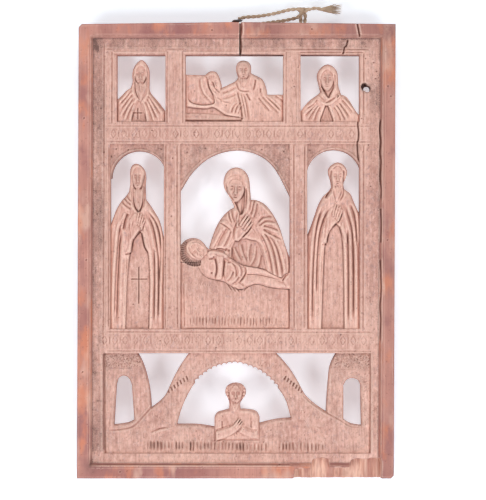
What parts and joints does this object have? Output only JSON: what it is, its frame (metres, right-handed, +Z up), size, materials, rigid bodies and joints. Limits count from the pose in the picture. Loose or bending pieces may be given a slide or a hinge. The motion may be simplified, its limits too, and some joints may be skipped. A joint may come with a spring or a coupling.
{
  "type": "carved wooden icon",
  "caption": "Pierced wooden icon carved from one framed plank: rows of windows and arches with hooded figures, a mother over her reclining son, a bridge scene, a nail and a hanging twine.",
  "frame": {"origin": "middle of the plank's flat back, where it lies against a wall", "axes": "the front looks along -Y, +Z is up the plank, +X is to the right as seen from the front"},
  "size_m": [0.19, 0.022, 0.2833],
  "materials": {
    "rim": "reddish brown varnish over vertical grain, worn through at the edges",
    "carving": "pinkish tan bare wood, knife cut, with dirt in the recesses",
    "iron": "dark, lightly rusted",
    "twine": "two-ply hemp, fuzzy"
  },
  "bodies": {
    "root": {"top_rail": "rim", "bottom_rail": "rim", "left_stile": "rim", "right_stile": "rim", "upper_left_mullion": "carving", "upper_right_mullion": "carving", "left_column": "carving", "right_column": "carving", "upper_band": "carving", "lower_band": "carving", "left_arch_head": "carving", "middle_arch_head": "carving", "right_arch_head": "carving", "hooded_elder": "carving", "sleeping_figure": "carving", "bedside_elder": "carving", "veiled_woman": "carving", "left_monk": "carving", "right_monk": "carving", "veiled_mother": "carving", "reclining_son": "carving", "grass_mound": "carving", "left_tower": "carving", "right_tower": "carving", "scalloped_bridge": "carving", "crossed_arms_bust": "carving", "ground": "carving", "top_nail": "iron", "back_tack": "iron", "twine_knot": "twine", "twine_frayed_end": "twine", "twine_lead": "twine", "twine_tail": "twine", "twine_drop_left": "twine", "twine_drop_right": "twine", "twine_return": "twine"}
  },
  "joints": []
}
